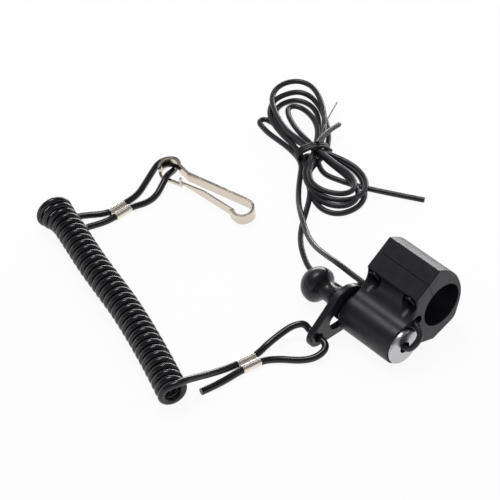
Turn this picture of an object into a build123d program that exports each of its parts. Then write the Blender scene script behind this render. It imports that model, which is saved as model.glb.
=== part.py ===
"""Engine kill switch with a coiled lanyard, for a 22 mm handlebar, lying on a table.

Frame: the origin is the centre of the handlebar bore, half way along it. +X runs along the bore
towards the wire end, +Z is up, and the housing lies on its barrel and one corner of the clamp.
All sizes are millimetres.
"""
from math import atan2, cos, degrees, pi, radians, sin, tan
from build123d import *
import os

# Clamp and barrel
BORE_R = 11.1            # 7/8 inch handlebar
BODY_L = 31.8            # length of the housing along the bore
TILT = 20.75             # how far the housing leans over when it lies down, degrees
BARREL_GAP = 26.5        # bore centre to barrel centre
BARREL_R = 9.75
BARREL_WALL = 2.15
BARREL_END_WALL = 3.4
RIM_DEPTH = 3.0          # seat of the end disc
RIM_WALL = 0.6
SHOULDER_R = 3.0         # hollow corner under the barrel
EDGE = 0.3               # broken edges of small pieces
END_BEVEL = 0.6          # bevel round both end faces of the casting

# Clamp outline, from the bore centre: U points away from the barrel, V is square to it
TOP_RIGHT = (5.2, 21.8)
TOP_LEFT = (-11.2, 17.7)
HOLLOW_R = 9.4           # hollow from the clamp's top edge down to the barrel
WEB_LOW = (-17.2, -11.2)
FOOT = (-10.4, -16.5)
JAW_FOOT = (4.6, -16.5)
JAW_LOW = (13.5, -4.4)
JAW_HIGH = (13.5, 12.1)
JAW_ROUNDING = (5.0, 18.0, 24.0)  # radii at the foot, the low and the high corner of the jaw
FOOT_R = 1.2

# Split of the clamp
SPLIT_U = -2.6
SPLIT_GAP = 0.25
TONGUE_V = -13.9
TONGUE_T = 2.0
TONGUE_REACH = 3.0
TONGUE_FIT = 0.12

# Clamp screws, M4 socket heads
SCREW_R = 2.0
SCREW_HEAD_R = 3.5
SCREW_HEAD_H = 3.8
SCREW_SOCKET = 3.0       # across flats
SCREW_SEAT_U = -8.6
SCREW_TIP_U = 7.0
POCKET_END_U = -20.0     # short of the crest of the barrel
SCREW_V = 13.4
SCREW_PITCH = 22.4
POCKET_R = 4.3
SCREW_CLEAR = 0.2
THREAD_FIT = 0.05

# Wires and their channel through the web
WIRE_R = 1.35
CHANNEL = (-14.6, 5.4)
CHANNEL_R = 2.78
WIRE_SIDE = 1.4          # each wire's offset from the middle of the pair
LOOP_OUT = 6.0           # how far the wires bow out in front of the disc

# Plunger
FORK_T = 3.5
FORK_PLAY = 0.15
SHAFT_R = 2.7
SHAFT_FIT = 0.05
BUSH_R = 4.4
BUSH_FLANGE_R = 6.2
BUSH_FLANGE_T = 1.0
SKIRT_R = 7.7
SKIRT_T = 4.4
WAIST_R = 4.4
WAIST_X = 11.3           # from the face of the skirt
HEAD_R = 8.7
HEAD_X = 18.6
DOME_L = 8.2
KNOB_PIN_DEPTH = 16.0
CLOSE_STROKE = 3.0       # inward travel that closes the contacts
CARRIER_PLAY = 0.6
CARRIER_T = 2.4
CONTACT_R = 5.6
CONTACT_T = 0.9
SPRING_R = 5.2
SPRING_WIRE_R = 0.45
SPRING_TURNS = 5

# Fixed contacts and end disc
BLOCK_T = 4.2
BLOCK_FIT = 0.1
BLOCK_ROOM = 1.7         # between the contact block and the spigot of the end disc
PIN_R = 1.2
PIN_HEAD_R = 2.1
PIN_HEAD_T = 0.7
PIN_TAIL = 0.8
PIN_SIDE = 2.9
DISC_R = BARREL_R - RIM_WALL - 0.3
DISC_PROUD = 1.9
DISC_CHAMFER = 0.6
DISC_SPIGOT = 1.6
DISC_HOLLOW_R = 5.6
DISC_HOLE_R = 2.85

# Tether fork
FORK_HEAD_R = 12.0
FORK_HEAD_Y = -3.2       # centre of the round head, from the barrel centre
FORK_TAIL_R = 5.2
FORK_REACH = 20.8        # barrel centre to the cord hole, along Y
FORK_HOLE_R = 2.5
FORK_SLOT_W = 8.4
FORK_SLOT_DROP = 1.0     # the slot lies this much below the shaft
FORK_SLOT_END = 13.7     # closed end of the slot, from the barrel centre
FORK_MOUTH = 8.0         # open end of the prongs, from the barrel centre
FORK_EDGE = 0.5

# Lanyard
CORD_R = 1.6
COIL_R = 7.45
FERRULE_L = 9.6
FERRULE_WALL = 0.42

# Snap hook, a bent nickel-plated strip standing on its edge
STRIP_W = 6.0
STRIP_T = 1.3
EYE_R = 5.0
NECK = (10.5, 2.4)
HOOK_ARM = (45.5, 7.6)
HOOK_END_R = 5.2
HOOK_NOSE_X = 43.0
GATE_T = 0.8
GATE_W = 5.4
GATE_ROOT_X = 7.6
GATE_TIP_X = 44.6
GATE_SPREAD_X = 26.0
LOW_WALL = 1.6           # height of the strip on the eye's near side, where the cord passes over
HOOK_AT = (-152.3, -17.2)
HOOK_TURN = 5.4
HOOK_ROLL = 12.0         # the cord under the far side of the eye lifts it
EYE_LIFT = 2.4
EYE_PASS = (0.46, -0.89)  # direction in which the cord goes through the eye

# Hank of spare wire and its tie
HANK_T = 6.6
HANK_AT = (-117.0, 47.3)
HANK_TURN = 145.8
UPPER_LOBE = (32.0, -2.5)
UPPER_SIZE = (29.5, 14.5)
LOWER_LOBE = (-26.5, 6.0)
LOWER_SIZE = (25.5, 15.5)
LOBE_BAND = 8.0
WAIST_SIZE = (26.0, 13.0)
TIE_W = 2.4
TIE_T = 0.5
TIE_ENDS = ((-3.0, (6.6, -16.0)), (-1.5, (16.0, -22.0)))

HALF = BODY_L / 2
BARREL_Y = -BARREL_GAP * cos(radians(TILT))
BARREL_Z = -BARREL_GAP * sin(radians(TILT))
FLOOR = BARREL_Z - BARREL_R
CAVITY_R = BARREL_R - BARREL_WALL
CARRIER_R = CAVITY_R - CARRIER_PLAY
SKIRT_X = -HALF - FORK_T - 2 * FORK_PLAY
INNER_X = -HALF + BARREL_END_WALL
DISC_SEAT_X = HALF - RIM_DEPTH
BLOCK_X = DISC_SEAT_X - DISC_SPIGOT - BLOCK_ROOM - BLOCK_T
CARRIER_X = BLOCK_X - PIN_HEAD_T - CLOSE_STROKE - CONTACT_T - CARRIER_T
CORD_Z = FLOOR + CORD_R
WIRE_Z = FLOOR + WIRE_R
EXACT = 1e-3
TABLE_GAP = 0.02


def section(x):
    """The U, V plane of the housing at one place along the bore."""
    return Plane(origin=(x, 0, 0), x_dir=(0, cos(radians(TILT)), sin(radians(TILT))), z_dir=(1, 0, 0))


def place(x, u, v):
    """A point given along the bore and in the housing's own section."""
    return section(x).from_local_coords(Vector(u, v, 0))


def rod(start, end, radius):
    """A round bar between two points."""
    run = Vector(*end) - Vector(*start)
    return extrude(Plane(origin=start, z_dir=run) * Circle(radius), run.length)


def turned(outline, x, u=-BARREL_GAP, v=0):
    """Revolve (along, radius) points about a line parallel to the bore."""
    base = Plane(origin=place(x, u, v), x_dir=(1, 0, 0), z_dir=(0, 0, 1))
    face = base * make_face(Polyline(*outline, close=True))
    return revolve(face, Axis(base.origin, (1, 0, 0)))


def barrel_disc(x, radius, length):
    return extrude(section(x) * Pos(-BARREL_GAP, 0) * Circle(radius), length)


def hollow():
    """Centre of the hollow that is tangent to the barrel, and the point where they touch."""
    barrel, corner = Vector(-BARREL_GAP, 0), Vector(*TOP_LEFT)
    reach, span = BARREL_R + HOLLOW_R, corner - barrel
    foot = (reach ** 2 - HOLLOW_R ** 2 + span.length ** 2) / (2 * span.length)
    rise = (reach ** 2 - foot ** 2) ** 0.5
    along = span.normalized()
    centre = barrel + along * foot + Vector(-along.Y, along.X) * rise
    return centre, barrel + (centre - barrel).normalized() * BARREL_R


def clamp_outline():
    """Outline of the closed clamp block, without the bore."""
    centre, touch = hollow()
    deepest = centre + (Vector(*TOP_LEFT) + touch - centre * 2).normalized() * HOLLOW_R
    lines = Polyline(touch, (-BARREL_GAP, 0), (-BARREL_GAP, -BARREL_R * 0.75), WEB_LOW, FOOT, JAW_FOOT, JAW_LOW,
                     JAW_HIGH, TOP_RIGHT, TOP_LEFT).edges()
    outline = make_face(lines + ThreePointArc(TOP_LEFT, deepest, touch).edges())
    for corner, radius in zip((JAW_FOOT, JAW_LOW, JAW_HIGH, FOOT), JAW_ROUNDING + (FOOT_R,)):
        outline = fillet(nearest(outline, corner), radius)
    return outline


def nearest(outline, corner):
    """The outline's vertex at a corner."""
    return outline.vertices().sort_by(lambda v: (Vector(v.X, v.Y) - Vector(*corner)).length)[0]


def body_outline():
    """Clamp block and barrel together, with a hollow corner under the barrel too."""
    outline = clamp_outline() + Pos(-BARREL_GAP, 0) * Circle(BARREL_R)
    centre = Vector(-BARREL_GAP, 0)
    joins = [v for v in outline.vertices()
             if abs((Vector(v.X, v.Y) - centre).length - BARREL_R) < EXACT and v.X > -BARREL_GAP + 1 and v.Y < 0]
    return fillet(joins, SHOULDER_R)


def clamp_cut(side):
    """Everything on one side of the split: -1 is the housing's side, 1 the jaw's."""
    reach = 4 * BARREL_GAP
    gap = SPLIT_GAP / 2
    upper = Pos(SPLIT_U + side * (gap + reach / 2), reach / 2) * Rectangle(reach, reach)
    lower = Pos(SPLIT_U + side * reach / 2, -reach / 2) * Rectangle(reach, reach)
    return extrude(section(-BODY_L) * (upper + lower), 2 * BODY_L)


def tongue(fit):
    """The jaw's hooked edge, or with a fit the groove for it."""
    shape = Pos(SPLIT_U - TONGUE_REACH / 2, TONGUE_V) * Rectangle(TONGUE_REACH + 2 * fit, TONGUE_T + 2 * fit)
    return extrude(section(-HALF) * shape, BODY_L)


def screw_places():
    return (-SCREW_PITCH / 2, SCREW_PITCH / 2)


def clamp_block():
    """Housing and jaw as one block, bored for the bar."""
    block = extrude(section(-HALF) * body_outline(), BODY_L)
    ends = [e for e in block.edges() if abs(abs(e.center().X) - HALF) < EXACT]
    block = chamfer(ends, END_BEVEL)
    block -= extrude(section(-BODY_L) * Circle(BORE_R), 2 * BODY_L)
    return block


def switch_housing():
    """Die-cast half: the barrel, the web and the fixed side of the clamp."""
    part = clamp_block() & clamp_cut(-1)
    part -= tongue(TONGUE_FIT)
    part -= barrel_disc(INNER_X, CAVITY_R, BODY_L)
    part -= barrel_disc(DISC_SEAT_X, BARREL_R - RIM_WALL, BODY_L)
    part -= barrel_disc(-BODY_L, BUSH_R, BODY_L)
    part -= extrude(section(-BODY_L) * Pos(*CHANNEL) * Circle(CHANNEL_R), 2 * BODY_L)
    for x in screw_places():
        part -= rod(place(x, SCREW_SEAT_U, SCREW_V), place(x, POCKET_END_U, SCREW_V), POCKET_R)
        part -= rod(place(x, SCREW_SEAT_U, SCREW_V), place(x, 0, SCREW_V), SCREW_R + SCREW_CLEAR)
    return part


def clamp_jaw():
    """Loose side of the clamp, hooked into the housing below and pulled in by the screws."""
    part = clamp_block() & clamp_cut(1)
    part += tongue(0)
    for x in screw_places():
        part -= rod(place(x, SPLIT_U, SCREW_V), place(x, SCREW_TIP_U + SCREW_R, SCREW_V), SCREW_R)
    return part


def clamp_screws():
    """Two socket-head screws."""
    screws = []
    for x in screw_places():
        top = SCREW_SEAT_U - SCREW_HEAD_H
        head = rod(place(x, SCREW_SEAT_U, SCREW_V), place(x, top, SCREW_V), SCREW_HEAD_R)
        head = chamfer(head.edges().sort_by(lambda e: (e.center() - place(x, top, SCREW_V)).length)[0], 0.4)
        socket = Plane(origin=place(x, top, SCREW_V), z_dir=place(0, 1, 0)) * RegularPolygon(SCREW_SOCKET / 2, 6, major_radius=False)
        head -= extrude(socket, SCREW_HEAD_H / 2)
        shank = rod(place(x, SCREW_SEAT_U, SCREW_V), place(x, SCREW_TIP_U, SCREW_V), SCREW_R - THREAD_FIT)
        screws.append(head + shank)
    return screws


def knob():
    """Moulded pull knob: a flat skirt against the fork, a waist and a round head."""
    with BuildPart() as part:
        with BuildSketch(Plane(origin=(SKIRT_X, BARREL_Y, BARREL_Z), x_dir=(-1, 0, 0), z_dir=(0, 0, -1))):
            with BuildLine():
                Polyline((0, 0), (0, SKIRT_R - EDGE), (EDGE, SKIRT_R), (SKIRT_T, SKIRT_R - EDGE))
                Spline((SKIRT_T, SKIRT_R - EDGE), (WAIST_X, WAIST_R), tangents=((1, -0.9), (1, 0)))
                Spline((WAIST_X, WAIST_R), (HEAD_X, HEAD_R), tangents=((1, 0), (1, 0)))
                diagonal = cos(radians(45))
                Spline((HEAD_X, HEAD_R), (HEAD_X + DOME_L * diagonal, HEAD_R * diagonal), (HEAD_X + DOME_L, 0),
                       tangents=((1, 0), (0, -1)))
                Line((HEAD_X + DOME_L, 0), (0, 0))
            make_face()
        revolve(axis=Axis((SKIRT_X, BARREL_Y, BARREL_Z), (1, 0, 0)))
    return part.part - barrel_disc(SKIRT_X - KNOB_PIN_DEPTH, SHAFT_R, 2 * KNOB_PIN_DEPTH)


def plunger_shaft():
    """Steel pin pressed into the knob, with a stepped inner end for the contact carrier."""
    start = SKIRT_X - KNOB_PIN_DEPTH
    neck = SHAFT_R * 0.7
    end = CARRIER_X + CARRIER_T + CONTACT_T
    return turned([(0, 0), (0, SHAFT_R), (CARRIER_X - start, SHAFT_R), (CARRIER_X - start, neck),
                   (end - start, neck), (end - start, 0)], start)


def plunger_bush():
    """Bearing bush in the barrel's end wall."""
    bore = SHAFT_R + SHAFT_FIT
    wall = BARREL_END_WALL
    return turned([(0, bore), (0, BUSH_R), (wall, BUSH_R), (wall, BUSH_FLANGE_R),
                   (wall + BUSH_FLANGE_T, BUSH_FLANGE_R), (wall + BUSH_FLANGE_T, bore)], -HALF)


def return_spring():
    """Compression spring that pulls the knob in when the fork is off."""
    start = INNER_X + BUSH_FLANGE_T + SPRING_WIRE_R
    height = CARRIER_X - SPRING_WIRE_R - start
    path = Helix(height / SPRING_TURNS, height, SPRING_R)
    wire = sweep(Plane(origin=path @ 0, z_dir=path % 0) * Circle(SPRING_WIRE_R), path)
    return Pos(start, BARREL_Y, BARREL_Z) * Rot(0, 90, 0) * wire


def contact_carrier():
    """Insulating washer on the shaft that the spring pushes on."""
    neck = SHAFT_R * 0.7 + SHAFT_FIT
    return turned([(0, neck), (0, CARRIER_R), (CARRIER_T, CARRIER_R), (CARRIER_T, neck)], CARRIER_X)


def moving_contact():
    neck = SHAFT_R * 0.7 + SHAFT_FIT
    return turned([(0, neck), (0, CONTACT_R), (CONTACT_T, CONTACT_R), (CONTACT_T, neck)],
                  CARRIER_X + CARRIER_T)


def pair_axis():
    """Unit step in U, V from one wire of the pair to the other."""
    u = CHANNEL[0] + BARREL_GAP
    v = CHANNEL[1]
    length = (u * u + v * v) ** 0.5
    return -v / length, u / length


def contact_block():
    """Insulating block that carries the two fixed contacts."""
    part = barrel_disc(BLOCK_X, CAVITY_R - BLOCK_FIT, BLOCK_T)
    du, dv = pair_axis()
    for side in (-1, 1):
        hole = Pos(-BARREL_GAP + side * PIN_SIDE * du, side * PIN_SIDE * dv) * Circle(PIN_R + THREAD_FIT)
        part -= extrude(section(BLOCK_X) * hole, BLOCK_T)
    return part


def fixed_contacts():
    """Two riveted contact pins, the wires soldered to their tails."""
    du, dv = pair_axis()
    outline = [(0, 0), (0, PIN_HEAD_R), (PIN_HEAD_T, PIN_HEAD_R), (PIN_HEAD_T, PIN_R),
               (PIN_HEAD_T + BLOCK_T + PIN_TAIL, PIN_R), (PIN_HEAD_T + BLOCK_T + PIN_TAIL, 0)]
    return [turned(outline, BLOCK_X - PIN_HEAD_T, -BARREL_GAP + side * PIN_SIDE * du, side * PIN_SIDE * dv)
            for side in (-1, 1)]


def end_disc():
    """Zinc-plated end disc, proud of the barrel, with the wire hole in its middle."""
    full = RIM_DEPTH + DISC_PROUD
    spigot = CAVITY_R - BLOCK_FIT
    outline = [(-DISC_SPIGOT, DISC_HOLLOW_R), (-DISC_SPIGOT, spigot), (0, spigot), (0, DISC_R),
               (full - DISC_CHAMFER, DISC_R), (full, DISC_R - DISC_CHAMFER), (full, DISC_HOLE_R),
               (RIM_DEPTH, DISC_HOLE_R), (RIM_DEPTH, DISC_HOLLOW_R)]
    return turned(outline, DISC_SEAT_X)


def tether_fork():
    """Moulded fork: a round head with a slot for the shaft, and a tail with the cord hole."""
    head = (BARREL_Y + FORK_HEAD_Y, FLOOR + FORK_HEAD_R)
    tail = (BARREL_Y - FORK_REACH, FLOOR + FORK_TAIL_R)
    span = ((head[0] - tail[0]) ** 2 + (head[1] - tail[1]) ** 2) ** 0.5
    lean = degrees(atan2(head[1] - tail[1], head[0] - tail[0]))
    flare = degrees(atan2(FORK_HEAD_R - FORK_TAIL_R, (span ** 2 - (FORK_HEAD_R - FORK_TAIL_R) ** 2) ** 0.5))
    corners = []
    for centre, radius in ((tail, FORK_TAIL_R), (head, FORK_HEAD_R)):
        for side in (1, -1):
            angle = radians(lean + side * (90 + flare))
            corners.append((centre[0] + radius * cos(angle), centre[1] + radius * sin(angle)))
    wedge = make_face(Polyline(corners[0], corners[2], corners[3], corners[1], close=True))
    outline = wedge + Pos(*head) * Circle(FORK_HEAD_R) + Pos(*tail) * Circle(FORK_TAIL_R)
    slot_z = BARREL_Z - FORK_SLOT_DROP
    seat = BARREL_Y - FORK_SLOT_END + FORK_SLOT_W / 2
    reach = 2 * FORK_HEAD_R
    outline -= Pos(seat, slot_z) * Circle(FORK_SLOT_W / 2)
    outline -= Pos(seat + reach, slot_z) * Rectangle(2 * reach, FORK_SLOT_W)
    outline -= Pos(BARREL_Y + FORK_MOUTH + reach, slot_z) * Rectangle(2 * reach, 4 * reach)
    back = Plane(origin=(-HALF - FORK_PLAY - FORK_T, 0, 0), x_dir=(0, 1, 0), z_dir=(1, 0, 0))
    plate = extrude(back * outline, FORK_T)
    rim = [e for e in plate.edges() if abs(e.tangent_at(0.5).X) < EXACT]
    plate = chamfer(rim, FORK_EDGE)
    return plate - rod((-2 * BODY_L, tail[0], tail[1]), (0, tail[0], tail[1]), FORK_HOLE_R)


def routed(points, radius, name):
    """A round cord along straight runs joined by the largest arcs that the runs allow."""
    spots = [Vector(*p) for p in points]
    radii = []
    for before, corner, after in zip(spots, spots[1:], spots[2:]):
        turn = (corner - before).get_angle(after - corner)
        short = min((corner - before).length, (after - corner).length)
        radii.append(0.45 * short / tan(radians(turn / 2)))
    path = FilletPolyline(*spots, radius=radii)
    cord = sweep(Plane(origin=path @ 0, z_dir=path % 0) * Circle(radius), path)
    expected = pi * radius ** 2 * path.length
    print(f"{name}: length {path.length:.1f}, smallest radius {min(radii):.1f}, "
          f"volume ratio {cord.volume / expected:.4f}")
    return cord


def wire_start(side):
    """Route shared by both wires: contact pin, disc, bow in front of it, channel through the web."""
    du, dv = pair_axis()
    pin_end = BLOCK_X + BLOCK_T + PIN_TAIL
    front = HALF + DISC_PROUD + LOOP_OUT
    mid = (side * WIRE_SIDE * du, side * WIRE_SIDE * dv)
    disc = (-BARREL_GAP + mid[0], mid[1])
    web = (CHANNEL[0] + mid[0], CHANNEL[1] + mid[1])
    pin = (-BARREL_GAP + side * PIN_SIDE * du, side * PIN_SIDE * dv)
    return [place(pin_end, *pin), place(DISC_SEAT_X + RIM_DEPTH - 1.2, *disc), place(front, *disc),
            place(front, *web), place(-HALF - 5.5, *web)]


WIRE_ONE_ROUTE = [(-34.0, -15.6, 0.6), (-46.0, -12.6, -3.4), (-58.0, -8.0, -9.0), (-70.5, -1.6, -13.4),
                  (-83.0, 6.6, -14.7), (-92.5, 13.6, -17.0), (-101.0, 21.4, WIRE_Z)]
WIRE_TWO_ROUTE = [(-24.2, -13.4, -10.0), (-29.5, -12.6, -16.4), (-38.0, -12.6, WIRE_Z), (-47.0, -13.6, WIRE_Z),
                  (-55.5, -14.2, WIRE_Z),
                  (-64.5, -9.6, WIRE_Z), (-72.5, -4.2, WIRE_Z), (-79.8, 3.2, WIRE_Z), (-86.8, 13.2, WIRE_Z),
                  (-94.6, 23.4, WIRE_Z)]
FREE_END_ROUTE = [(-93.4, 43.4, WIRE_Z), (-80.0, 48.6, WIRE_Z), (-69.0, 54.3, WIRE_Z), (-54.4, 63.0, WIRE_Z)]


def ferrule_frame(centre, turn):
    """Place of a double crimp sleeve lying on the table, its barrels along local Y."""
    return Pos(centre[0], centre[1], FLOOR + CORD_R + FERRULE_WALL) * Rot(0, 0, turn)


def ferrule_ends(centre, turn, side):
    """Both ends of one barrel's axis, a little outside the sleeve."""
    frame = ferrule_frame(centre, turn)
    step = side * (CORD_R + FERRULE_WALL)
    return [tuple((frame * Pos(step, y, 0)).position) for y in (-FERRULE_L * 0.62, FERRULE_L * 0.62)]


def ferrule(centre, turn):
    """Double-barrelled crimp sleeve."""
    step = CORD_R + FERRULE_WALL
    shape = Pos(-step, 0) * Circle(step) + Pos(step, 0) * Circle(step) + Rectangle(2 * step, step)
    shape -= Pos(-step, 0) * Circle(CORD_R + THREAD_FIT) + Pos(step, 0) * Circle(CORD_R + THREAD_FIT)
    sleeve = extrude(Plane(origin=(0, FERRULE_L / 2, 0), x_dir=(1, 0, 0), z_dir=(0, -1, 0)) * shape, FERRULE_L)
    return ferrule_frame(centre, turn) * sleeve


LOWER_FERRULE_AT = ((-27.9, -78.1), -8.0)
UPPER_FERRULE_AT = ((-148.1, -53.6), 2.0)
COIL_ROUTE = [(-166.6, -78.4), (-151.5, -82.2), (-135.5, -87.6), (-120.2, -92.0), (-104.0, -95.8),
              (-89.7, -99.2), (-75.0, -103.6), (-60.6, -108.4), (-46.8, -113.3), (-32.2, -119.2)]


def lower_cord_route():
    """Cut tail, crimp, loop through the fork's hole, crimp, and on to the coil."""
    near = ferrule_ends(*LOWER_FERRULE_AT, 1)
    far = ferrule_ends(*LOWER_FERRULE_AT, -1)
    hole_y = BARREL_Y - FORK_REACH
    hole_z = FLOOR + FORK_TAIL_R
    plate_x = -HALF - FORK_PLAY - FORK_T / 2
    return ([(-28.8, -105.6, CORD_Z), (-27.6, -95.0, CORD_Z)] + near
            + [(-20.6, -65.6, CORD_Z), (-14.2, -60.0, CORD_Z), (-9.4, -55.0, CORD_Z + 0.3),
               (-7.6, -49.6, hole_z - 1.9), (-9.2, -46.2, hole_z - 0.6), (plate_x + 4.4, hole_y, hole_z),
               (plate_x - 4.4, hole_y, hole_z), (-26.4, -47.0, hole_z + 0.6), (-29.4, -50.8, hole_z + 0.4),
               (-31.0, -57.0, hole_z - 0.8), (-30.8, -64.5, CORD_Z + 1.0)] + far[::-1]
            + [(-32.4, -92.0, CORD_Z + 1.6), (-33.4, -102.0, CORD_Z + 4.6), (-35.0, -112.0, CORD_Z + 8.6)])


def upper_cord_route():
    """From the coil through the crimp, under and through the hook's eye, and back to the cut tail."""
    left = ferrule_ends(*UPPER_FERRULE_AT, -1)
    right = ferrule_ends(*UPPER_FERRULE_AT, 1)
    lifts = ((-9.0, 0.0), (-3.4, 0.0), (4.8, 3.4), (9.4, 2.4))
    through = [(HOOK_AT[0] + s * EYE_PASS[0], HOOK_AT[1] + s * EYE_PASS[1], CORD_Z + z) for s, z in lifts]
    return ([(-160.0, -77.0, FLOOR + COIL_R + 1.0), (-153.6, -68.8, CORD_Z + 1.6)] + left
            + [(-151.6, -39.0, CORD_Z), (-156.0, -30.4, CORD_Z), (-160.6, -21.8, CORD_Z),
               (-162.4, -13.8, CORD_Z), (-160.6, -8.4, CORD_Z)] + through
            + [(-144.4, -33.6, CORD_Z), (-144.2, -40.8, CORD_Z)] + right[::-1]
            + [(-147.0, -66.0, CORD_Z), (-149.4, -71.6, CORD_Z)])


def lanyard_coil():
    """The coiled stretch, as one fat tube of its outer diameter."""
    return routed([(x, y, FLOOR + COIL_R) for x, y in COIL_ROUTE], COIL_R, "lanyard_coil")


def hook_frame():
    """Place of the hook: its nose and near side on the table, its far side lifted by the cord."""
    nose_drop = (2 * HOOK_END_R - HOOK_ARM[1] + STRIP_T / 2) * sin(radians(HOOK_ROLL))
    pitch = degrees(atan2(EYE_LIFT - nose_drop, HOOK_ARM[0]))
    place_on_table = Pos(HOOK_AT[0], HOOK_AT[1], FLOOR + EYE_LIFT + TABLE_GAP)
    return place_on_table * Rot(0, 0, HOOK_TURN) * Rot(0, pitch, 0) * Rot(HOOK_ROLL, 0, 0)


def hook_line():
    """Middle line of the strip: neck, eye, neck, arm, round end and nose."""
    end_centre = (HOOK_ARM[0] + 1.5, HOOK_ARM[1] - HOOK_END_R)
    eye_in = (EYE_R * cos(radians(-50)), EYE_R * sin(radians(-50)))
    eye_out = (EYE_R * cos(radians(50)), EYE_R * sin(radians(50)))
    top = (end_centre[0], end_centre[1] + HOOK_END_R)
    low = (end_centre[0], end_centre[1] - HOOK_END_R)
    lines = Line((NECK[0], -NECK[1]), eye_in).edges()
    lines += ThreePointArc(eye_in, (-EYE_R, 0), eye_out).edges()
    lines += Line(eye_out, NECK).edges()
    lines += Line(NECK, HOOK_ARM).edges()
    lines += Line(HOOK_ARM, top).edges()
    lines += ThreePointArc(top, (end_centre[0] + HOOK_END_R, end_centre[1]), low).edges()
    lines += Line(low, (HOOK_NOSE_X, low[1] + 0.6)).edges()
    return lines


def snap_hook():
    """Bent strip hook, its strip cut low on the near side of the eye."""
    strip = extrude(trace(hook_line(), STRIP_T), STRIP_W)
    low = Box(NECK[0] + 2 * STRIP_T, 4 * EYE_R, STRIP_W, align=(Align.MIN, Align.MAX, Align.MIN))
    return hook_frame() * (strip - Pos(-EYE_R * 0.7, -STRIP_T, LOW_WALL) * low)


def gate_line():
    """Middle line of the gate leaf: root against the neck, bend, tip inside the nose."""
    inside = NECK[1] - STRIP_T / 2 - GATE_T / 2 - SHAFT_FIT
    tip = HOOK_ARM[1] - 2 * HOOK_END_R + STRIP_T / 2 + GATE_T / 2 + 2 * EDGE
    return (GATE_ROOT_X, -inside), (NECK[0] + STRIP_T, -inside), (GATE_TIP_X, tip)


def hook_gate():
    """Leaf spring that closes the hook and opens inwards, narrow at its root."""
    root, bend, tip = gate_line()
    leaf = Pos(0, 0, (STRIP_W - GATE_W) / 2) * extrude(trace(Polyline(root, bend, tip).edges(), GATE_T), GATE_W)
    side = Polyline((0, 0), (0, LOW_WALL), (NECK[0], LOW_WALL), (GATE_SPREAD_X, STRIP_W),
                    (2 * GATE_TIP_X, STRIP_W), (2 * GATE_TIP_X, 0), close=True)
    wedge = extrude(Plane(origin=(0, 2 * EYE_R, 0), x_dir=(1, 0, 0), z_dir=(0, -1, 0)) * make_face(side), 4 * EYE_R)
    return hook_frame() * (leaf & wedge)


def lobe(centre, size):
    ring = Ellipse(*size) - Ellipse(size[0] - LOBE_BAND, size[1] - LOBE_BAND)
    return Pos(*centre) * ring


def hank_frame():
    return Pos(HANK_AT[0], HANK_AT[1], FLOOR) * Rot(0, 0, HANK_TURN)


def wire_hank():
    """Spare wire wound into a loose figure of eight, as one closed solid."""
    lobes = extrude(lobe(UPPER_LOBE, UPPER_SIZE) + lobe(LOWER_LOBE, LOWER_SIZE), HANK_T)
    middle = Pos(0, 0, TIE_T + 0.1) * extrude(Rectangle(*WAIST_SIZE), HANK_T - 3 * TIE_T)
    notch = Pos(0, 0, HANK_T / 2) * Box(TIE_W + 1, 4 * WAIST_SIZE[1], 2 * HANK_T)
    return hank_frame() * (lobes - notch + middle)


def twist_tie():
    """Flat tie round the middle of the hank, with its two ends twisted and standing off."""
    outer = Pos(0, 0, HANK_T / 2) * Box(TIE_W, WAIST_SIZE[1] + 2 * TIE_T + 0.2, HANK_T)
    inner = Pos(0, 0, HANK_T / 2) * Box(2 * TIE_W, WAIST_SIZE[1] + 0.2, HANK_T - 2 * TIE_T)
    band = outer - inner
    for start_y, end in TIE_ENDS:
        knot = (0, start_y, HANK_T + 2 * TIE_T)
        band += rod((0, start_y, HANK_T - TIE_T / 2), knot, TIE_T)
        band += rod(knot, (end[0], end[1], HANK_T + 6 * TIE_T), TIE_T)
    return hank_frame() * band


def cords():
    start_one = wire_start(1)
    start_two = wire_start(-1)
    return {
        "wire_one": routed(start_one + WIRE_ONE_ROUTE, WIRE_R, "wire_one"),
        "wire_two": routed(start_two + WIRE_TWO_ROUTE, WIRE_R, "wire_two"),
        "wire_free_end": routed(FREE_END_ROUTE, WIRE_R, "wire_free_end"),
        "lanyard_lower_cord": routed(lower_cord_route(), CORD_R, "lanyard_lower_cord"),
        "lanyard_upper_cord": routed(upper_cord_route(), CORD_R, "lanyard_upper_cord"),
        "lanyard_coil": lanyard_coil(),
    }


def main():
    parts = {
        "switch_housing": switch_housing(),
        "clamp_jaw": clamp_jaw(),
        "clamp_screws": clamp_screws(),
        "knob": knob(),
        "plunger_shaft": plunger_shaft(),
        "plunger_bush": plunger_bush(),
        "return_spring": return_spring(),
        "contact_carrier": contact_carrier(),
        "moving_contact": moving_contact(),
        "contact_block": contact_block(),
        "fixed_contacts": fixed_contacts(),
        "end_disc": end_disc(),
        "tether_fork": tether_fork(),
        "lower_ferrule": ferrule(*LOWER_FERRULE_AT),
        "upper_ferrule": ferrule(*UPPER_FERRULE_AT),
        "snap_hook": snap_hook(),
        "hook_gate": hook_gate(),
        "wire_hank": wire_hank(),
        "twist_tie": twist_tie(),
    }
    parts.update(cords())
    os.makedirs("parts", exist_ok=True)
    for name, shape in parts.items():
        if isinstance(shape, list):
            shape = Compound(children=shape)
        export_step(shape, f"parts/{name}.step")


main()
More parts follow.
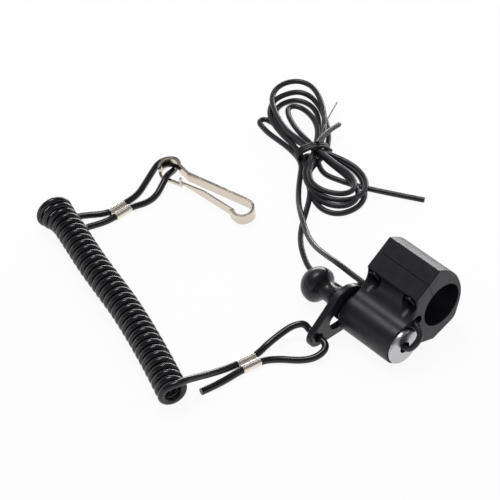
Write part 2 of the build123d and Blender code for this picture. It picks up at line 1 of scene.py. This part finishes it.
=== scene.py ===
import bpy, bmesh, math
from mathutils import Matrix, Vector


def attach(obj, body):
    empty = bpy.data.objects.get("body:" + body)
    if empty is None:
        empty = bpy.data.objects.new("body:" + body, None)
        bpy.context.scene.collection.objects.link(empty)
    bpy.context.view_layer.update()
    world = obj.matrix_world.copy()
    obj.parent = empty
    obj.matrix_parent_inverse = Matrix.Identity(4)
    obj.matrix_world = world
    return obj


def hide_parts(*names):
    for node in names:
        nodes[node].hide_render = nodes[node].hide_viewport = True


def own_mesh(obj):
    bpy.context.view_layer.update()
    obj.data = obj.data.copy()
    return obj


# Engine kill switch with its coiled lanyard and a hank of spare wire, lying on a white table.
# The frame is the part's own, in metres: +X along the bore towards the wire end, +Z up.
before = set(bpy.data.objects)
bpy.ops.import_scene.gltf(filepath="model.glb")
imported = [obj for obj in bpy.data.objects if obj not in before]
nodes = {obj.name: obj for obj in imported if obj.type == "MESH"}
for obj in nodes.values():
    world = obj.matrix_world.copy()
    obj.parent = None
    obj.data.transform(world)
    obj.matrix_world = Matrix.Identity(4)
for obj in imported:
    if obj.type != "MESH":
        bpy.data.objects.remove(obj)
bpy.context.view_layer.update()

MM = 0.001
UP = Vector((0, 0, 1))
HALF = 0.0159                     # half the housing's length along the bore
TILT = math.radians(20.75)        # how far the housing's section is turned about the bore
BARREL_GAP = 0.0265               # from the bore's axis to the barrel's
BARREL_Y = -BARREL_GAP * math.cos(TILT)
FLOOR = -0.01914                  # the table's top
CHANNEL = (-0.0146, 0.0054)       # the wire channel, in the housing's section
FORK_HOLE = Vector((-HALF - 0.0019, BARREL_Y - 0.0208, FLOOR + 0.0052))

CORD_D = 0.0033
WIRE_D = 0.0028
WIRE_GAP = 0.0014                 # from the middle of the pair of wires to each wire
COIL_D = 0.0149
COIL_TURNS = 33
TURN_POINTS = 12                  # control points to a turn
PART_TURN = 5                     # and those past the last whole turn, down to the table
START_ANGLE = math.radians(110)   # where the first turn begins, counted from its right side
LAST_TURN = 0.36                  # how much wider the last turn is
WIDENING = 2.6                    # the turns over which the coil widens
CLOSING = 0.0034                  # how far those turns are pushed back along the coil
SLEEVE_WALL = 0.00042
SLEEVE_L = 0.0096
SLEEVE_REACH = 0.62               # the cord's straight run each way, as a share of the sleeve


# Materials

def linear(code):
    """An sRGB hex colour as linear red, green, blue and alpha."""
    channels = [int(code[i:i + 2], 16) / 255 for i in (1, 3, 5)]
    return [c / 12.92 if c <= 0.04045 else ((c + 0.055) / 1.055) ** 2.4 for c in channels] + [1.0]


def finish(name, colour, roughness, metallic=0.0, **settings):
    """A material with the colour and gloss of one real finish."""
    made = bpy.data.materials.new(name)
    made.use_nodes = True
    shader = made.node_tree.nodes["Principled BSDF"]
    settings.update({"Base Color": linear(colour), "Roughness": roughness, "Metallic": metallic})
    for socket, value in settings.items():
        shader.inputs[socket.replace("_", " ")].default_value = value
    return made


def add(material, kind, links=(), **settings):
    """Adds one node, sets its inputs and properties, and joins each named input to an output."""
    made = material.node_tree.nodes.new(kind)
    for key, value in settings.items():
        socket = key.replace("_", " ")
        if socket in made.inputs:
            made.inputs[socket].default_value = value
        else:
            setattr(made, key, value)
    for socket, source in links:
        material.node_tree.links.new(source, made.inputs[socket])
    return made


def join(material, source, socket):
    material.node_tree.links.new(source, material.node_tree.nodes["Principled BSDF"].inputs[socket])


def relief(material, width, height, strength=1.0, detail=2.0):
    """Raises grains of the given width and height, in millimetres."""
    place = add(material, "ShaderNodeTexCoord")
    grains = add(material, "ShaderNodeTexNoise", [("Vector", place.outputs["Object"])],
                 Scale=1 / (width * MM), Detail=detail)
    bump = add(material, "ShaderNodeBump", [("Height", grains.outputs["Fac"])],
               Strength=strength, Distance=height * MM)
    join(material, bump.outputs["Normal"], "Normal")


def uneven(material, width, low, high):
    """Lets the roughness drift between two values over patches of the given width in millimetres."""
    place = add(material, "ShaderNodeTexCoord")
    patches = add(material, "ShaderNodeTexNoise", [("Vector", place.outputs["Object"])],
                  Scale=1 / (width * MM), Detail=3.0)
    spread = add(material, "ShaderNodeMapRange", [("Value", patches.outputs["Fac"])],
                 From_Min=0.3, From_Max=0.7, To_Min=low, To_Max=high)
    join(material, spread.outputs["Result"], "Roughness")


def shaded(material, width, dark, light):
    """Lets the colour drift between two shades over patches of the given width in millimetres."""
    place = add(material, "ShaderNodeTexCoord")
    patches = add(material, "ShaderNodeTexNoise", [("Vector", place.outputs["Object"])],
                  Scale=1 / (width * MM), Detail=4.0)
    blend = add(material, "ShaderNodeMix", [("Factor", patches.outputs["Fac"])], data_type="RGBA")
    blend.inputs[6].default_value = linear(dark)
    blend.inputs[7].default_value = linear(light)
    join(material, blend.outputs[2], "Base Color")


# Powder coat on a zinc die casting: a nearly black satin skin with a violet cast. The cured
# powder leaves an orange peel 0.6 mm across, and its gloss drifts a little from place to place.
powder_coat = finish("powder_coated_zinc_casting", "#1a1721", 0.4, Specular_IOR_Level=0.4)
relief(powder_coat, 0.6, 0.012, 0.35)
uneven(powder_coat, 5.0, 0.34, 0.45)
shaded(powder_coat, 3.0, "#17141e", "#1f1b28")

# Injection-moulded nylon of the knob and the fork: dense black, polished by the mould with
# faint flow marks some millimetres wide.
moulded_nylon = finish("moulded_black_nylon", "#17151e", 0.3)
relief(moulded_nylon, 2.5, 0.01, 0.25)
uneven(moulded_nylon, 6.0, 0.25, 0.36)

# Extruded polyurethane cord: glossy black, wiped smooth by the die, with a slight haze.
polyurethane = finish("extruded_polyurethane_cord", "#100e16", 0.2)
uneven(polyurethane, 9.0, 0.16, 0.26)

# Extruded PVC insulation: dark grey and semi-matte, dulled where fingers wound it.
pvc = finish("extruded_pvc_insulation", "#1b1921", 0.34)
relief(pvc, 1.2, 0.006, 0.3)
uneven(pvc, 7.0, 0.28, 0.42)

# Bright nickel plate over a blanked and bent steel strip: warm grey, with a faint tumbled
# haze and rolling waves about 5 mm long.
nickel_strip = finish("nickel_plated_steel_strip", "#d8cdbf", 0.14, 1.0)
relief(nickel_strip, 5.0, 0.015, 0.3)
uneven(nickel_strip, 5.0, 0.12, 0.2)

# The same plate over soft tube, squeezed by a crimping tool.
nickel_sleeve = finish("nickel_plated_crimp_sleeve", "#efe7dc", 0.28, 1.0)
relief(nickel_sleeve, 3.0, 0.004, 0.3)
uneven(nickel_sleeve, 3.0, 0.25, 0.33)

# Clear zinc plate over a turned steel disc: cool white metal, with a fine crystalline bloom.
zinc_plate = finish("clear_zinc_plated_disc", "#c2c3c6", 0.3, 1.0)
relief(zinc_plate, 0.5, 0.008, 0.5)
uneven(zinc_plate, 1.5, 0.24, 0.4)

# Centreless-ground steel of the pin and the spring wire.
ground_steel = finish("ground_steel", "#9a9a9c", 0.28, 1.0)
uneven(ground_steel, 0.8, 0.22, 0.36)

# Black oxide on the clamp screws: a dark conversion coat under a film of oil.
black_oxide = finish("black_oxide_steel", "#201f22", 0.34, 0.8)
uneven(black_oxide, 1.0, 0.28, 0.42)

# Machined brass of the contacts and the bush.
brass = finish("machined_brass", "#b08d4a", 0.3, 1.0)
uneven(brass, 0.8, 0.24, 0.38)

# Phenolic board of the two insulators: brown, with paper fibres about 1 mm long.
phenolic = finish("phenolic_board", "#4a2c1c", 0.5)
shaded(phenolic, 1.0, "#3f2417", "#553524")

# Polyethylene film of the twist tie, semi-gloss and creased.
tie_film = finish("polyethylene_tie_film", "#111013", 0.36)
relief(tie_film, 1.5, 0.05, 0.6)

DRESS = {
    "switch_housing": (powder_coat, "black_casting"), "clamp_jaw": (powder_coat, "black_casting"),
    "clamp_screws": (black_oxide, "screw_steel"), "knob": (moulded_nylon, "black_plastic"),
    "plunger_shaft": (ground_steel, "bright_steel"), "plunger_bush": (brass, "brass"),
    "return_spring": (ground_steel, "bright_steel"), "contact_carrier": (phenolic, "insulator"),
    "moving_contact": (brass, "brass"), "contact_block": (phenolic, "insulator"),
    "fixed_contacts": (brass, "brass"), "end_disc": (zinc_plate, "zinc_plate"),
    "tether_fork": (moulded_nylon, "black_plastic"), "lower_ferrule": (nickel_sleeve, "nickel"),
    "upper_ferrule": (nickel_sleeve, "nickel"), "snap_hook": (nickel_strip, "nickel"),
    "hook_gate": (nickel_strip, "nickel"),
}


def dress(piece, material):
    piece.data.materials.clear()
    piece.data.materials.append(material)
    return piece


for name, (material, slot_name) in DRESS.items():
    dress(nodes[name], material)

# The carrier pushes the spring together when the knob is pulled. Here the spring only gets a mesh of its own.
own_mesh(nodes["return_spring"])


# Cords

def on_table(points):
    """Points given as x, y and height above the table, in millimetres."""
    return [Vector((x * MM, y * MM, FLOOR + h * MM)) for x, y, h in points]


def across_bore(x, u, v):
    """A point given along the bore and in the housing's own section."""
    return Vector((x, u * math.cos(TILT) - v * math.sin(TILT), u * math.sin(TILT) + v * math.cos(TILT)))


def smooth_line(name, points, steps):
    """One open NURBS curve through the given control points."""
    curve = bpy.data.curves.new(name, "CURVE")
    curve.dimensions = "3D"
    curve.resolution_u = steps
    spline = curve.splines.new("NURBS")
    spline.points.add(len(points) - 1)
    for point, place in zip(spline.points, points):
        point.co = (*place, 1)
    spline.order_u = 3
    spline.use_endpoint_u = True
    line = bpy.data.objects.new(name, curve)
    bpy.context.scene.collection.objects.link(line)
    return line


def read_line(points):
    """The places that the smooth line passes, and their distances along it."""
    guide = smooth_line("guide", points, 12)
    bpy.context.view_layer.update()
    mesh = bpy.data.meshes.new_from_object(guide)
    places = [vertex.co.copy() for vertex in mesh.vertices]
    bpy.data.meshes.remove(mesh)
    bpy.data.curves.remove(guide.data)
    runs = [0.0]
    for before, after in zip(places, places[1:]):
        runs.append(runs[-1] + (after - before).length)
    return places, runs


def round_cord(name, points, diameter, material, steps=5):
    """A round cord, wire or tie along its control points."""
    cord = smooth_line(name, points, steps)
    cord.data.bevel_depth = diameter / 2
    cord.data.bevel_resolution = 7
    cord.data.use_fill_caps = True
    return dress(cord, material)


def at_distance(places, runs, wanted):
    """The point at a distance along a line that was read."""
    for i in range(1, len(runs)):
        if runs[i] >= wanted or i == len(runs) - 1:
            share = (wanted - runs[i - 1]) / max(runs[i] - runs[i - 1], 1e-9)
            return places[i - 1].lerp(places[i], min(max(share, 0), 1))


def wound_turns(route, radius):
    """Control points of the coil's turns, left-handed. The last turns widen away from the crimp and
    still lie on the table."""
    places, runs = read_line(route)
    total = COIL_TURNS * TURN_POINTS + PART_TURN
    wound = []
    for i in range(total + 1):
        distance = runs[-1] * i / total
        here = at_distance(places, runs, distance)
        ahead = at_distance(places, runs, min(distance + 0.002, runs[-1]))
        behind = at_distance(places, runs, max(distance - 0.002, 0))
        axis = (ahead - behind).normalized()
        side = axis.cross(UP).normalized()
        flare = max(0, 1 - (total - i) / (WIDENING * TURN_POINTS))
        turn = START_ANGLE + 2 * math.pi * i / TURN_POINTS
        wider = radius * LAST_TURN * flare
        middle = here - axis * CLOSING * flare - side * wider + UP * wider
        wound.append(middle + (radius + wider) * (math.cos(turn) * side + math.sin(turn) * UP))
    return wound


def sleeve_barrel(centre, turn, side):
    """Both ends of the cord's straight run through one barrel of a crimp sleeve."""
    turn = math.radians(turn)
    barrel_r = CORD_D / 2 + SLEEVE_WALL
    across = Vector((math.cos(turn), math.sin(turn), 0)) * barrel_r * side
    down = Vector((-math.sin(turn), math.cos(turn), 0)) * SLEEVE_L * SLEEVE_REACH
    middle = Vector((centre[0] * MM, centre[1] * MM, FLOOR + barrel_r)) + across
    return [middle - down, middle + down]


LOWER_SLEEVE = ((-27.9, -78.1), -8.0)     # centre in millimetres, and turn in degrees
UPPER_SLEEVE = ((-148.1, -53.6), 2.0)
EYE = Vector((-152.3, -17.2, 0))          # the hook's eye, and the cord's way through it
EYE_PASS = Vector((0.46, -0.89, 0))
hole_h = (FORK_HOLE.z - FLOOR) / MM
along_hole = Vector((0.0044, 0, 0))

# Lower end: the cut tail, the crimp, the loop through the fork's hole, the crimp again, and the
# run that crosses the mouth of the coil.
lower_run = (on_table([(-28.8, -105.6, 1.6), (-27.0, -95.0, 1.6)]) + sleeve_barrel(*LOWER_SLEEVE, 1)
             + on_table([(-20.6, -65.6, 1.6), (-14.2, -60.0, 1.6), (-10.4, -54.6, 1.9),
                         (-9.2, -49.6, hole_h - 1.9), (-10.4, -46.4, hole_h - 0.6)])
             + [FORK_HOLE + along_hole, FORK_HOLE - along_hole]
             + on_table([(-25.8, -45.4, hole_h + 2.2), (-28.6, -50.0, hole_h + 1.8),
                         (-29.9, -56.2, hole_h - 0.2), (-30.6, -64.5, 2.5)])
             + sleeve_barrel(*LOWER_SLEEVE, -1)[::-1]
             + on_table([(-31.2, -89.5, 3.2), (-31.0, -98.0, 6.3), (-30.6, -106.0, 9.9), (-30.3, -113.0, 12.8),
                         (-30.4, -117.6, 13.7)]))

# Upper end: out of the last, wider turn, through the crimp, up through the hook's eye, back
# through the crimp, and the cut tail behind the coil.
through_eye = [(EYE.x + s * EYE_PASS.x, EYE.y + s * EYE_PASS.y, 1.6 + h)
               for s, h in ((-6.5, 0), (-3.4, 0), (4.8, 3.4), (9.4, 2.4))]
upper_run = (on_table([(-158.4, -69.5, 1.6)]) + sleeve_barrel(*UPPER_SLEEVE, -1)
             + on_table([(-151.6, -39.0, 1.6), (-156.0, -30.4, 1.6), (-160.6, -21.8, 1.6), (-163.2, -16.0, 1.8),
                         (-162.4, -11.2, 2.2), (-159.4, -8.2, 2.3), (-156.6, -8.6, 2.1)]
                        + through_eye + [(-144.4, -33.6, 1.6), (-144.2, -40.8, 1.6)])
             + sleeve_barrel(*UPPER_SLEEVE, 1)[::-1] + on_table([(-147.0, -66.0, 1.6), (-149.6, -73.0, 1.6)]))

coil_middle = on_table([(x, y, COIL_D / MM / 2) for x, y in
                        [(-31.5, -119.2), (-46.8, -113.3), (-60.6, -108.4), (-75.0, -103.6), (-89.7, -99.2),
                         (-104.0, -95.8), (-120.2, -92.0), (-135.5, -87.6), (-150.0, -83.2), (-165.7, -79.8)]])
lanyard_points = lower_run + wound_turns(coil_middle, (COIL_D - CORD_D) / 2) + upper_run
lanyard = round_cord("lanyard", lanyard_points, CORD_D, polyurethane)
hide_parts("lanyard_coil", "lanyard_lower_cord", "lanyard_upper_cord")
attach(lanyard, "tether")


# Wires and their hank

def wire_start(side):
    """From the contact pin through the disc, round in front of it and back through the channel.
    side is 1 or -1 for the two wires. In front, one lies behind the other as the camera sees them."""
    u, v = CHANNEL[0] + BARREL_GAP, CHANNEL[1]
    size = math.hypot(u, v)
    du, dv = -v / size, u / size
    step, pin, front = WIRE_GAP * side, 0.0029 * side, HALF + 0.0058
    stacked = Vector((0.55, -0.5, 0.66)) * WIRE_GAP * side
    disc = (-BARREL_GAP + step * du, step * dv)
    web = (CHANNEL[0] + step * du, CHANNEL[1] + step * dv)
    return [across_bore(0.0104, -BARREL_GAP + pin * du, pin * dv), across_bore(HALF - 0.0012, *disc),
            across_bore(front, -BARREL_GAP, 0) + stacked, across_bore(front, *CHANNEL) + stacked,
            across_bore(-HALF - 0.0055, *web)]


# Runs from the switch, then the lobes of the hank in the order in which the wires were wound.
# UP lobes lie away from the switch, DOWN lobes towards it; each starts and ends near the tie.
WIRE_ONE_RUN = [(-34.0, -15.6, 19.7), (-46.0, -12.6, 15.7), (-58.0, -8.0, 10.1), (-70.5, -1.6, 5.7),
                (-83.0, 6.6, 4.4), (-92.5, 13.6, 2.1), (-101.0, 21.4, 1.35), (-108.5, 29.5, 1.35)]
WIRE_TWO_RUN = [(-24.2, -13.4, 9.1), (-29.5, -12.6, 2.7), (-38.0, -12.6, 1.35), (-47.0, -13.6, 1.35),
                (-55.5, -14.2, 1.35), (-64.5, -9.6, 1.35), (-72.5, -4.2, 1.35), (-79.8, 3.2, 1.35),
                (-86.8, 13.2, 1.35), (-94.6, 23.4, 1.35), (-104.0, 31.5, 1.6)]
UP_FIVE = [(-113.6, 35.6, 2.0), (-121.1, 39.3, 1.7), (-131.8, 41.0, 1.4), (-143.6, 41.1, 1.4), (-149.4, 42.2, 1.4),
           (-154.4, 43.6, 1.4), (-154.8, 47.6, 1.4), (-149.8, 48.6, 1.4), (-138.0, 46.8, 2.5), (-125.7, 45.3, 3.5)]
DOWN_ONE = [(-110.7, 46.9, 6.5), (-103.5, 50.0, 5.7), (-93.8, 52.4, 4.8), (-84.8, 50.8, 4.2), (-78.4, 46.1, 4.2),
            (-75.3, 38.5, 4.2), (-77.4, 31.5, 4.2), (-83.6, 26.0, 4.2), (-93.3, 24.2, 4.2), (-102.4, 27.1, 4.3),
            (-108.4, 32.8, 4.4), (-112.5, 40.8, 4.5)]
UP_ONE = [(-115.6, 50.7, 7.4), (-121.7, 58.7, 7.2), (-131.2, 67.7, 7.0), (-141.9, 75.4, 7.0), (-153.6, 80.0, 7.0),
          (-162.0, 76.8, 7.0), (-164.9, 67.5, 7.0), (-161.0, 58.3, 6.5), (-151.5, 51.7, 6.0), (-136.3, 45.1, 6.7),
          (-124.3, 43.9, 7.4)]
DOWN_TWO = [(-110.1, 47.1, 6.0), (-102.6, 49.2, 4.3), (-96.1, 52.3, 2.7), (-87.5, 51.4, 1.4), (-80.5, 46.7, 1.4),
            (-75.0, 41.7, 1.4), (-72.1, 33.4, 1.4), (-74.4, 24.2, 1.4), (-80.9, 20.3, 1.4), (-88.7, 21.2, 1.4),
            (-97.2, 25.5, 1.4), (-106.3, 32.1, 1.4)]
FREE_END = [(-113.4, 36.0, 1.4), (-118.6, 39.6, 1.4), (-117.6, 45.0, 1.4), (-111.0, 44.2, 1.4), (-105.0, 40.6, 1.4),
            (-100.0, 39.9, 1.4),
            (-93.8, 41.7, 1.4), (-86.3, 44.4, 1.4), (-79.0, 48.1, 1.4),
            (-66.6, 55.1, 1.4), (-54.5, 62.3, 1.4)]
UP_TWO = [(-111.8, 36.4, 3.5), (-123.4, 41.5, 3.8), (-138.2, 43.6, 4.0), (-150.2, 47.6, 4.2), (-156.9, 53.7, 4.2),
          (-160.5, 61.7, 4.2), (-157.9, 73.0, 4.2), (-150.5, 75.9, 4.2), (-141.1, 73.6, 4.0), (-132.2, 69.2, 3.4),
          (-124.6, 64.4, 2.8), (-117.6, 57.8, 2.2), (-111.8, 49.4, 1.8)]
DOWN_THREE = [(-108.7, 37.9, 6.8), (-103.1, 30.1, 6.8), (-95.9, 25.4, 6.9), (-87.2, 26.1, 6.9), (-80.1, 30.8, 6.9),
              (-78.4, 36.9, 6.7), (-83.4, 43.0, 6.3), (-90.9, 45.4, 6.2), (-99.9, 44.8, 6.8), (-108.8, 45.1, 7.5)]
UP_THREE = [(-119.4, 45.2, 6.5), (-129.5, 44.6, 5.5), (-143.4, 45.9, 4.5), (-151.3, 51.1, 3.3), (-157.1, 60.3, 2.2),
            (-155.6, 70.0, 1.6), (-148.0, 73.2, 1.5), (-139.2, 70.8, 1.5), (-129.6, 62.7, 2.0), (-121.2, 53.7, 2.4)]
DOWN_FOUR = [(-110.4, 41.0, 1.6), (-105.9, 31.3, 2.1), (-95.1, 24.4, 2.6), (-86.2, 22.4, 3.1), (-77.7, 25.3, 3.6),
             (-73.8, 31.3, 4.2), (-76.5, 39.3, 4.1), (-83.5, 42.8, 4.0), (-91.6, 44.5, 4.3), (-103.1, 44.7, 4.9),
             (-110.3, 45.7, 5.5)]
UP_FOUR = [(-117.6, 45.5, 8.2), (-131.4, 48.9, 6.7), (-143.6, 54.5, 5.2), (-149.9, 59.5, 4.4), (-149.7, 63.6, 4.3),
           (-144.7, 65.7, 4.2), (-136.1, 64.4, 4.3), (-127.9, 60.0, 4.4), (-121.5, 53.6, 4.6), (-113.7, 43.2, 4.8),
           (-107.9, 35.1, 5.0)]

wire_one_points = wire_start(1) + on_table(WIRE_ONE_RUN + UP_FIVE + DOWN_ONE + UP_ONE + DOWN_TWO + FREE_END)
wire_two_points = wire_start(-1) + on_table(WIRE_TWO_RUN + UP_TWO + DOWN_FOUR + UP_THREE + DOWN_THREE + UP_FOUR)
wire_one = round_cord("wire_one_insulation", wire_one_points, WIRE_D, pvc)
wire_two = round_cord("wire_two_insulation", wire_two_points, WIRE_D, pvc)
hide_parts("wire_one", "wire_free_end", "wire_hank")
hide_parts("wire_two")
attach(wire_one, "switch")
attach(wire_two, "switch")


# Twist tie: a band wound nearly three times round the hank's waist, a thin end and a flattened end, drawn as a
# thicker round cord

WAIST = Vector((-0.1143, 0.0436, FLOOR + 0.0056))
ACROSS_WAIST = Vector((0.37, 0.93, 0)).normalized()
WRAP_POINTS = 8
wraps = []
for i in range(23):
    turn = 2 * math.pi * i / WRAP_POINTS
    wraps.append(WAIST + ACROSS_WAIST * 0.0092 * math.cos(turn) + UP * 0.0048 * math.sin(turn)
                 + UP.cross(ACROSS_WAIST) * (0.0015 * i / WRAP_POINTS - 0.002))
tie_band = round_cord("tie_band", wraps, 0.0017, tie_film)
tie_thin = round_cord("tie_thin_end", on_table(
    [(-113.6, 45.6, 10.2), (-121.4, 57.6, 9.2), (-128.6, 68.8, 7.8), (-135.9, 81.2, 5.0)]),
    0.0007, tie_film)
tie_flat = round_cord("tie_flat_end", on_table(
    [(-114.0, 46.4, 10.2), (-118.6, 56.1, 9.4), (-121.3, 68.5, 6.0)]), 0.0026, tie_film)
for piece in (tie_band, tie_thin, tie_flat):
    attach(piece, "switch")
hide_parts("twist_tie")


# Table, camera and light

def grid_sheet(name, size, height, material):
    """A flat square sheet."""
    sheet = bpy.data.meshes.new(name)
    work = bmesh.new()
    bmesh.ops.create_grid(work, x_segments=1, y_segments=1, size=size)
    bmesh.ops.translate(work, verts=work.verts, vec=(0, 0, height))
    work.to_mesh(sheet)
    work.free()
    made = bpy.data.objects.new(name, sheet)
    bpy.context.scene.collection.objects.link(made)
    made.data.materials.append(material)
    return made


# White laminate. To the camera, and in reflections, its own white counts for nine tenths, so that
# the table stays white while the lamps stay low. The rest takes the object's shadow.
SEEN_WHITE, MIRRORED_WHITE = 0.92, 0.9
table_white = finish("white_laminate", "#f2f2f2", 0.85)
glow = add(table_white, "ShaderNodeEmission", Color=(1, 1, 1, 1), Strength=1.0)
seen = add(table_white, "ShaderNodeLightPath")
mirrored = add(table_white, "ShaderNodeMath", [("Value", seen.outputs["Is Glossy Ray"])], operation="MULTIPLY")
mirrored.inputs[1].default_value = MIRRORED_WHITE
share = add(table_white, "ShaderNodeMath", [("Value", seen.outputs["Is Camera Ray"])], operation="MULTIPLY_ADD")
share.inputs[1].default_value = SEEN_WHITE
blend = add(table_white, "ShaderNodeMixShader", [("Fac", share.outputs["Value"])])
table_nodes, table_links = table_white.node_tree.nodes, table_white.node_tree.links
table_links.new(mirrored.outputs["Value"], share.inputs[2])
table_links.new(table_nodes["Principled BSDF"].outputs["BSDF"], blend.inputs[1])
table_links.new(glow.outputs["Emission"], blend.inputs[2])
table_links.new(blend.outputs["Shader"], table_nodes["Material Output"].inputs["Surface"])
grid_sheet("table", 3.0, FLOOR, table_white)

# The photo was taken from in front and above; these place its ground frame in the part's frame.
AZIMUTH = math.radians(47.762)
ELEVATION = math.radians(41.637)
DISTANCE = 1.05068
RIGHT = Vector((math.cos(AZIMUTH), math.sin(AZIMUTH), 0))
AWAY = Vector((-math.sin(AZIMUTH), math.cos(AZIMUTH), 0))
BORE_END = Vector((0.086544, -0.058748, 0.019103))   # the bore's near end, in the photo's ground frame


def in_studio(right, away, up):
    """A point right of, behind and above the middle of the picture, in the part's frame."""
    step = Vector((right, away, up)) - BORE_END
    return RIGHT * step.x + AWAY * step.y + UP * step.z + Vector((HALF, 0, 0))


camera = bpy.data.objects.new("camera", bpy.data.cameras.new("camera"))
bpy.context.scene.collection.objects.link(camera)
camera.data.lens = 158.4
camera.data.sensor_width = 36
camera.data.clip_end = 20
camera.location = in_studio(0, -DISTANCE * math.cos(ELEVATION), DISTANCE * math.sin(ELEVATION))
line_of_sight = AWAY * math.cos(ELEVATION) - UP * math.sin(ELEVATION)
camera.rotation_euler = line_of_sight.to_track_quat("-Z", "Y").to_euler()
bpy.context.scene.camera = camera


def softbox(name, place, size, power):
    """A lamp with a rectangular diffuser, turned to the middle of the picture."""
    light = bpy.data.lights.new(name, "AREA")
    light.shape = "RECTANGLE"
    light.size, light.size_y = size
    light.energy = power
    lamp = bpy.data.objects.new(name, light)
    lamp.location = place
    lamp.rotation_euler = (in_studio(0, 0, 0) - place).to_track_quat("-Z", "Y").to_euler()
    bpy.context.scene.collection.objects.link(lamp)
    return lamp


softbox("softbox_overhead", in_studio(-0.15, 0.25, 1.15), (0.45, 0.45), 6.0)
softbox("softbox_behind", in_studio(0.3, 1.0, 0.13), (1.3, 0.24), 8.5)

# The room: white where the camera looks past the table, a white wall low down and a dim ceiling
# in reflections, and an even grey as fill.
room = bpy.data.worlds.new("studio")
room.use_nodes = True
bpy.context.scene.world = room
room_light = room.node_tree.nodes["Background"]
room_light.inputs["Color"].default_value = (1, 1, 1, 1)
ray = add(room, "ShaderNodeLightPath")
where = add(room, "ShaderNodeTexCoord")
height = add(room, "ShaderNodeSeparateXYZ", [("Vector", where.outputs["Generated"])])
wall = add(room, "ShaderNodeMapRange", [("Value", height.outputs["Z"])],
           From_Min=0.1, From_Max=0.42, To_Min=0.9, To_Max=0.2)
reflected = add(room, "ShaderNodeMix",
                [("Factor", ray.outputs["Is Glossy Ray"]), ("B", wall.outputs["Result"])], A=0.5)
strength = add(room, "ShaderNodeMix",
               [("Factor", ray.outputs["Is Camera Ray"]), ("A", reflected.outputs["Result"])], B=1.0)
room.node_tree.links.new(strength.outputs["Result"], room_light.inputs["Strength"])
bpy.context.scene.view_settings.view_transform = "Standard"


# The length of each cord along its line, read and not kept

read_line(lanyard_points)[1][-1]
read_line(wire_one_points)[1][-1]
read_line(wire_two_points)[1][-1]
